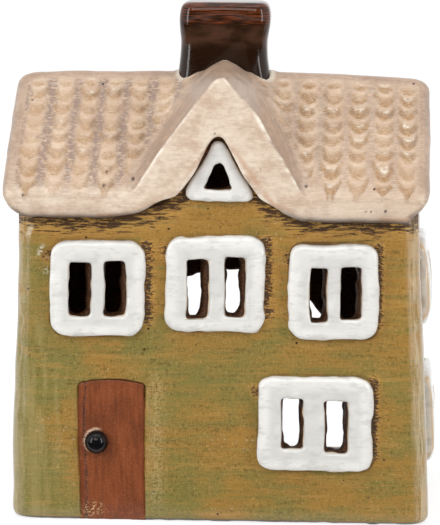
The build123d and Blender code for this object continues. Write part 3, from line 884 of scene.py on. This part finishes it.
def round_eave_ends(skin):
    """Fits the roof's ends to the photograph's and rounds their lower corners in to the walls."""
    radius, deepest = 8.0, 4.2
    drop = np.clip(eave_top + np.where(skin.x > 0, 1.0, 0) - skin.z, 0, radius)
    inset = np.minimum(radius - np.sqrt(np.maximum(radius ** 2 - drop ** 2, 0)), deepest)
    widen = np.where(skin.x < 0, 0.6, -0.9)
    skin.x += np.sign(skin.x) * ease(44, 57, np.abs(skin.x)) * (widen - inset)


def roll_at_chimney(skin):
    """Raises a roll of glaze round the chimney's foot, and says where it is."""
    half_sizes, corner, roll_width, roll_height = np.array((9.1, 2.7)), 4, 2.2, 0.7
    outside = np.maximum(np.abs(skin.points[:, :2]) - half_sizes, 0)
    ring = np.maximum(np.sqrt((outside ** 2).sum(1)) - corner, 0)
    high_up = ease(ridge_height - 12, ridge_height - 8, skin.z)
    skin.z += roll_height * np.clip(1 - ring / roll_width, 0, 1) ** 2 * high_up
    return ease(1.1, 0.2, ring) * high_up


def shape_roof():
    """One skin over both slopes and the gable, with its tiles modelled as overlapping tongues."""
    nodes = ["front_roof", "back_roof"]
    skin = Skin("roof", nodes, 0.5)
    flatten_tiles(skin)
    skin.wrap(0.42)
    skin.smooth(6)
    over, way = over_slope(skin)
    outward = upward(skin)
    normals = skin.normals()
    facing = (normals * outward).sum(1)
    on_hump = ease(9, 5, np.abs(skin.x)) * ease(12, 8, skin.y) * ease(108, 113, skin.z)
    above_eaves = ease(eaves_height + 8, eaves_height + 12, skin.z)
    soften_gable(skin, ease(0.2, 0.5, normals[:, 2]) * above_eaves)
    skin.smooth(24, on_hump)
    # Each tile is a tongue that rises towards its lip
    tiled = tiled_share(skin, way) * ease(0.2, 0.6, facing) * ease(-1.6, -0.8, over)
    across, column = column_share(skin)
    phase = (way - row_start) / row_length + 0.95 * across ** 2 + 0.14 * skin.noise(5, 31)
    row = np.floor(phase)
    rise = phase - row
    chance = hashed(np.stack([column, row, np.sign(skin.x)], axis=1).astype(np.int64), 38)
    tongue = rise * ease(1.0, 0.8, rise) * ease(row_start - 0.6, row_start + 1, way)
    crown = ease(0.95, 0.15, np.abs(across + 0.15 * skin.noise(4, 35)))
    height = crown * (0.5 + (0.4 + 0.55 * chance) * tongue) * (1 + 0.4 * skin.noise(6, 32))
    skin.push(outward, tiled * height)
    skin.smooth(3)
    skin.roughen((0.25, 14, 33), (0.12, 4, 34))
    crust = tiled * crown * (0.35 + 0.65 * ease(0.3, 0.8, rise))
    skin.push(outward, crust * 0.2 * skin.noise(1.3, 39))
    # The ridge sags towards the gable ends, most at the right
    middle = np.abs(skin.x) / (roof_width / 2)
    sag = np.where(skin.x < 0, 0.9, 1.7)
    lift = 0.5 - sag * middle ** 2 - 0.9 * ease(0.88, 1.0, middle) ** 2
    skin.z += lift * ease(eave_top, ridge_height, skin.z)
    # The slope turns over a little before the eave band
    turn = ease(30, 40, np.abs(skin.y)) * ease(86, 90.5, skin.z)
    skin.z -= 0.9 * turn * ease(0, 3, over_gable(skin))
    close_gable(skin)
    turn_up_foot(skin)
    round_eave_ends(skin)
    skin.store(seat=roll_at_chimney(skin))
    store_roof_masks(skin, over, way, tiled, across, row, rise, chance)
    skin.store_edges(10, 0.22)
    skin.finish(roof_paint(), "roof_glaze", *nodes)


def store_roof_masks(skin, over, way, tiled, across, row, rise, chance):
    """Keeps where the roof's glaze runs thin, lies thick or lets the clay show, and where painted glints and
    painted shade go.
    """
    side, forward, up = skin.normals().T
    at_left = skin.x < 0
    off_centre = np.abs(across + 0.3 * skin.noise(2, 41))
    # Where the painted glints sit, on the middle of the tiles' lips
    tip = tiled * ease(0.5, 0.15, off_centre) * ease(0.42, 0.55, rise) * ease(0.8, 0.65, rise)
    strong = 0.5 + 0.5 * skin.noise(7, 42)
    strong = np.where(at_left, 0.35 + 0.55 * strong, 0.6 + 0.7 * strong)
    whole_row = ease(0.7 * row_start, row_start, way) * (row < tile_rows)
    gold = tiled * ease(0.9, 0.45, off_centre) * whole_row * np.clip(strong * (0.6 + 0.6 * chance), 0, 1)
    amber = gold * np.maximum(0.8 * ease(0.3, 0.8, rise), ease(0.3, 0.08, rise))
    paler = 0.75 * ease(43, 49.5, way) * ease(0.2, 0.5, -forward) * (1 - np.clip(1.5 * amber, 0, 1))
    beside_columns = ease(0.38, 0.95, np.abs(across) + 0.16 * skin.noise(3.5, 36, (1, 2, 2)))
    holes = [
        ease(radius, radius * 0.4, np.hypot(skin.x - x, skin.z - z))
        for x, z, radius in roof_pits]
    foot = ease(0.9, 0.2, gap_to_soffit(skin)) * ease(-36, -38, skin.y)
    # Where painted shade goes: faces turned down near the eaves, and the roof's inside
    under = ease(0.15, -0.35, up) * ease(eaves_height + 6, eaves_height - 1, skin.z)
    inside = ease(-6.5, -7.5, over) * ease(0, -0.3, up)
    skin.store(
        tiled=tiled,
        groove=tiled * beside_columns * np.where(at_left, 1.3, 0.6),
        lip=tip * np.where(at_left, 0.6 * ease(0.7, 0.95, chance), ease(0.5, 0.85, chance)),
        drop=gold * np.maximum(ease(0.4, 0.75, rise), ease(0.16, 0.04, rise)),
        amber=amber,
        front=np.maximum(ease(0.55, 0.85, -forward) * (1 - tiled), paler),
        pit=np.max(holes, axis=0) * ease(0, -10, skin.y),
        upper=ease(0.3, 0.6, np.abs(side)) * ease(0.0, 0.3, up),
        foot=foot * ease(0.45, 0.7, 0.5 + 0.5 * skin.noise(5, 37)),
        under=np.maximum(under, inside),
        reveal=ease(86, 90, skin.z) * ease(-30, -36, skin.y),
    )


def shape_chimney():
    """The chimney, softly uneven under its thick glaze."""
    skin = Skin("chimney_stack", ["chimney"], 0.38)
    skin.smooth(8)
    corner = ease(6, 10, np.abs(skin.x)) * ease(1.5, 4.5, np.abs(skin.y))
    skin.smooth(70, corner * ease(134, 128, skin.z))
    skin.roughen((0.16, 11, 41), (0.02, 2.5, 42))
    waist = ease(114, 124, skin.z) * ease(136, 128, skin.z)
    foot = ease(129, 119, skin.z)
    leftward = ease(4, -10, skin.x)
    rightward = ease(-4, 10, skin.x)
    skin.x += -0.25 - 1.2 * foot * leftward + 1.1 * foot * rightward - 0.5 * waist * rightward
    skin.finish(chimney_paint(), "chimney_glaze", "chimney")


def dome_side_frame(skin, low, high, outer):
    """Side frames swell below their middle and thin towards the top, and are flatter on the left."""
    up = (skin.z - low[2]) / (high[2] - low[2])
    along = np.abs(skin.y) / high[1]
    lower = high[2] < eaves_height / 2 + 10
    swell, droop = (0.8, 0.9) if lower else (0.4, 1.2)
    if outer < 0:
        swell, droop = swell - 1.2, 0.5
    offset = swell - droop * ease(0.35, 1.0, up) ** 2 - 1.3 * ease(0.22, 0.0, up) - 0.5 * along ** 2
    skin.x += outer * ease(-0.4, -1.2, np.minimum(*wall_insets(skin))) * offset
    if not lower:
        skin.z -= 1.4 * ease(0.6, 1.0, up)


def shape_frame(name, paint):
    """A window frame, a pillowy pad with ragged slots."""
    slot_waver, sunk, rim_width = 0.3, 0.5, 3.2
    skin = Skin(name.replace("_window_frame", "_frame"), [name], 0.3)
    skin.smooth(14)
    low, high = box(name)
    sideways = high[0] - low[0] < high[1] - low[1]
    through, beside = (0, 1) if sideways else (1, 0)
    outer = np.sign((low + high)[through])
    if sideways:
        dome_side_frame(skin, low, high, outer)
    else:
        reshape_slots(skin)
        if name == "attic_window_frame":
            widen_attic_slot(skin)
        drift = [skin.noise(9, seed) * 0.35 for seed in (53, 54)]
        skin.x += drift[0]
        skin.z += drift[1]
    depth = np.minimum(*wall_insets(skin))
    skin.roughen((0.12, 6, 51), (0.04, 2.2, 52))
    in_face = np.ones(3)
    in_face[through] = 0
    skin.push(ragged(skin) * in_face, slot_waver * ease(-2.6, -1.2, depth))
    skin.points[:, through] -= outer * sunk * ease(-0.9, -0.2, depth)
    normals = skin.normals()
    inward = -normals[:, through] * outer
    beyond = np.abs(skin.points - (low + high) / 2) - (high - low) / 2 + rim_width
    rim = np.maximum(beyond[:, beside], beyond[:, 2])
    front_turn = np.exp(-((normals[:, 1] + 0.8) / 0.16) ** 2) if sideways else np.zeros(len(depth))
    skin.store(
        deep=ease(-2.7, -0.6, depth) * ease(0.5, -0.5, rim) * ease(-0.95, -0.5, inward),
        brim=front_turn * 0.9,
        middle=0.75 * ease(1.2, -1.2, rim),
    )
    skin.store_edges(10, 0.2)
    skin.finish(paint, "window_glaze", name)


def shape_door():
    """The door, brushed and a little hollow, scored down its left side, with glaze torn round its knob,
    where a pale collar at the upper left is partly a painted highlight.
    """
    line_inset, line_width, line_depth = 2.0, 0.32, 0.18
    collar_radius, collar_width, collar_height = 3.35, 0.33, 0.4
    skin = Skin("door", ["door_panel"], 0.28)
    skin.smooth(4)
    skin.z -= 0.9 * ease(5, 1, skin.z)
    from_left = skin.x - door_place + door_width / 2
    scored = np.exp(-((from_left - line_inset) / line_width) ** 2)
    worn = ease(4.5, 1.5, np.hypot(from_left - 4, (skin.z - 3) * 1.6))
    skin.y += line_depth * scored
    shift_door(skin)
    skin.roughen((0.12, 6, 61, (1, 1, 2.5)), (0.05, 1.2, 62, (1, 1, 10)))
    skin.x += 0.5 * skin.noise(6, 63)
    low, high = box("door_knob")
    across, _, up = (skin.points - (low + high) / 2).T
    away = np.hypot(across, up)
    collar = np.exp(-((away - collar_radius) / collar_width) ** 2)
    collar *= ease(-0.1, 0.7, (0.5 * up - across) / away)
    skin.y -= collar_height * collar
    skin.store(collar=collar, scored=scored, worn=worn)
    skin.store_edges(10, 0.2)
    skin.finish(door_paint(), "door_glaze", "door_panel")


def shape_knob():
    """The knob, a bead of glaze a little larger than packed."""
    growth = 0.07
    skin = Skin("knob", ["door_knob"], 0.14)
    skin.smooth(3)
    low, high = box("door_knob")
    away = skin.points - (low + high) / 2
    skin.x += away[:, 0] * growth
    skin.z += away[:, 2] * growth
    skin.finish(knob_paint(), "knob_glaze", "door_knob")


def paint_node(name, paint):
    """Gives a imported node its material."""
    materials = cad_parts[name].data.materials
    materials.clear()
    materials.append(paint)


def put_in_scene(name, data, place, turn):
    """Adds a camera or a lamp at a place, turned by a quaternion."""
    added = bpy.data.objects.new(name, data)
    added.location = place
    added.rotation_mode = "QUATERNION"
    added.rotation_quaternion = turn
    scene.collection.objects.link(added)
    return added


def make_camera():
    """The photograph's viewpoint, a little above and to the right of the front."""
    yaw, lift, roll = (math.radians(angle) for angle in (3.2, 9.5, 0.35))
    target = Vector((-1.4, 0.0, 65.4)) * MM
    distance = 890 * MM
    focal_pixels, long_side_pixels, sensor = 3178, 525, 36.0
    back = Vector((
        math.sin(yaw) * math.cos(lift),
        -math.cos(yaw) * math.cos(lift),
        math.sin(lift),
    ))
    data = bpy.data.cameras.new("camera")
    data.sensor_width = sensor
    data.lens = sensor * focal_pixels / long_side_pixels
    data.clip_start, data.clip_end = 0.01, 50
    turn = back.to_track_quat("Z", "Y") @ Quaternion((0, 0, 1), roll)
    scene.camera = put_in_scene("camera", data, target + back * distance, turn)


def make_sheet(name, half_width, near, far, height):
    """A flat rectangle of the studio, which isn't part of the house."""
    mesh = bpy.data.meshes.new(name)
    corners = [(-half_width, near, height), (half_width, near, height),
               (half_width, far, height), (-half_width, far, height)]
    mesh.from_pydata(corners, [], [(0, 1, 2, 3)])
    sheet = bpy.data.objects.new(name, mesh)
    scene.collection.objects.link(sheet)
    return sheet


def make_floor():
    """A pale floor that keeps the house's shadow and is white further off."""
    reach, glow_strength = 12.0, 0.78
    pale_grey, dark_grey = (0.75, 0.75, 0.75), (0.32, 0.32, 0.32)
    floor = make_sheet("studio_floor", reach, -reach, reach, 0)
    paint = Paint("studio_floor")
    path = paint.node("ShaderNodeLightPath").outputs
    seen = paint.most(path["Is Camera Ray"], paint.most(path["Is Glossy Ray"], path["Is Transmission Ray"]))
    lit = paint.node("ShaderNodeBsdfDiffuse", {"Color": pale_grey}).outputs[0]
    shaded = paint.node("ShaderNodeBsdfDiffuse", {"Color": dark_grey}).outputs[0]
    glow = paint.node("ShaderNodeEmission", {"Color": (1, 1, 1), "Strength": glow_strength}).outputs[0]
    pale = paint.node("ShaderNodeAddShader", {0: shaded, 1: glow}).outputs[0]
    choice = paint.node("ShaderNodeMixShader", {0: seen, 1: lit, 2: pale}).outputs[0]
    paint.tree.links.new(choice, paint.tree.nodes["Material Output"].inputs[0])
    paint.tree.nodes.remove(paint.tree.nodes["Principled BSDF"])
    floor.data.materials.append(paint.holder)


def make_flag():
    """A dark card lying in front, met only by reflections, that keeps the floor's glare off the front."""
    near, far, half_width = -0.05, -1.8, 0.9
    flag = make_sheet("studio_flag", half_width, far, near, 0.5 * MM)
    paint = Paint("studio_flag")
    paint.colour = (0.02, 0.02, 0.02)
    for kind in ("camera", "diffuse", "transmission", "volume_scatter", "shadow"):
        setattr(flag, "visible_" + kind, False)
    flag.data.materials.append(paint.finish(1))


def make_surround():
    """A surround that is white at the sides and behind, and dimmer on the viewer's side."""
    dim, bright = 0.06, 0.8
    paint = Paint("surround", bpy.data.worlds, "Generated")
    fade = paint.ease(paint.along("Y"), -0.95, -0.15)
    path = paint.node("ShaderNodeLightPath").outputs
    # What is seen through or in the glaze is white too, but for the dim room on the viewer's side
    mirrored = paint.most(path["Is Glossy Ray"], path["Is Transmission Ray"])
    seen = paint.most(path["Is Camera Ray"], paint.times(mirrored, fade))
    background = paint.tree.nodes["Background"]
    paint.fill(background.inputs["Color"], (1, 1, 1))
    paint.fill(background.inputs["Strength"], paint.most(seen, paint.times(fade, bright - dim, dim)))
    scene.world = paint.holder


def make_lamps():
    """Two strip softboxes at the sides, a broad one high in front and one overhead."""
    aim = Vector((0, 0, 0.06))
    for name, place, width, height, power in (
        ("left_softbox", (-0.72, -0.64, 0.3), 0.22, 0.8, 3.4),
        ("right_softbox", (0.76, -0.62, 0.3), 0.2, 0.8, 3.1),
        ("front_softbox", (-0.15, -1.1, 0.75), 0.8, 0.5, 4.0),
        ("top_softbox", (0.0, -0.25, 1.0), 0.9, 0.6, 1.6),
    ):
        data = bpy.data.lights.new(name, "AREA")
        data.shape = "RECTANGLE"
        data.size, data.size_y = width, height
        data.energy = power
        put_in_scene(name, data, place, (Vector(place) - aim).to_track_quat("Z", "Y"))


shape_walls()
shape_floor()
shape_roof()
shape_chimney()
white = frame_paint()
for name in window_frames:
    shape_frame(name, white)
shape_door()
shape_knob()
paint_node("tealight_cup", metal_paint("cup_metal", (0.82, 0.82, 0.83), 0.25))
paint_node("candle_wax", wax_paint())
paint_node("wick", wick_paint())
paint_node("wick_sustainer", metal_paint("sustainer_metal", (0.62, 0.62, 0.62), 0.35))
make_camera()
make_floor()
make_flag()
make_surround()
make_lamps()
scene.view_settings.view_transform = "Standard"
